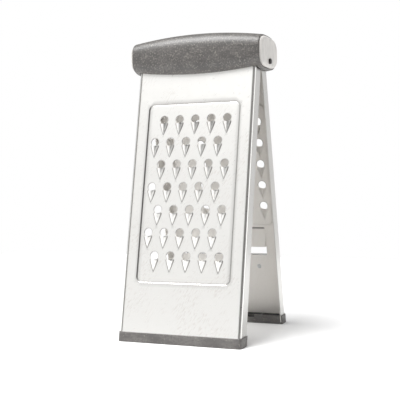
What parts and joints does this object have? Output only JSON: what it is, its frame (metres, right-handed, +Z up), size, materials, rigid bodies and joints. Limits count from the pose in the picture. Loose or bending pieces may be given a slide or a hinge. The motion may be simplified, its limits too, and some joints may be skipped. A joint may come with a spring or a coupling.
{
  "type": "folding grater",
  "caption": "Folding two-sided kitchen grater: two steel legs with raised teeth and a slicer, hinged under a soft barrel handle, on rubber feet.",
  "frame": {"origin": "on the floor, midway between the two feet and midway along the handle, at the centre of the base of the bounding box", "axes": "+X to the right seen from the front, +Y to the rear, +Z up; drawn with the legs open as in use"},
  "size_m": [0.1308, 0.1338, 0.2712],
  "materials": {
    "panel_steel": "fine satin",
    "blade_steel": "ground and polished",
    "rivet_steel": "plain bright steel",
    "pin_steel": "dark bright steel",
    "spacer_metal": "drawn tube",
    "cap_plastic": "satin light grey moulding",
    "grip_rubber": "soft matt elastomer",
    "foot_rubber": "soft matt elastomer",
    "core_plastic": "moulded",
    "carrier_plastic": "moulded",
    "bush_plastic": "moulded low-friction plastic"
  },
  "bodies": {
    "front_leg": {"front_panel": "panel_steel", "front_foot_pad": "foot_rubber", "front_foot_carrier": "carrier_plastic", "handle_core": "core_plastic", "handle_grip": "grip_rubber", "end_cap_right": "cap_plastic", "end_cap_left": "cap_plastic", "hinge_pin": "pin_steel", "pin_retainer": "pin_steel", "hinge_spacer": "spacer_metal", "washer_right": "bush_plastic", "washer_left": "bush_plastic", "clamp_strip": "rivet_steel", "clamp_screws": "rivet_steel"},
    "rear_leg": {"rear_panel": "panel_steel", "bush_right": "bush_plastic", "bush_left": "bush_plastic", "stop_strip": "core_plastic", "slicer_blade": "blade_steel", "blade_rivets": "rivet_steel", "rear_foot_pad": "foot_rubber", "rear_foot_carrier": "carrier_plastic"}
  },
  "joints": [
    {"name": "rear_leg_fold", "type": "hinge", "parent": "front_leg", "child": "rear_leg", "pos_m": [0, 0, 0.243], "axis": [-1, 0, 0], "range_deg": [0, 24]}
  ]
}
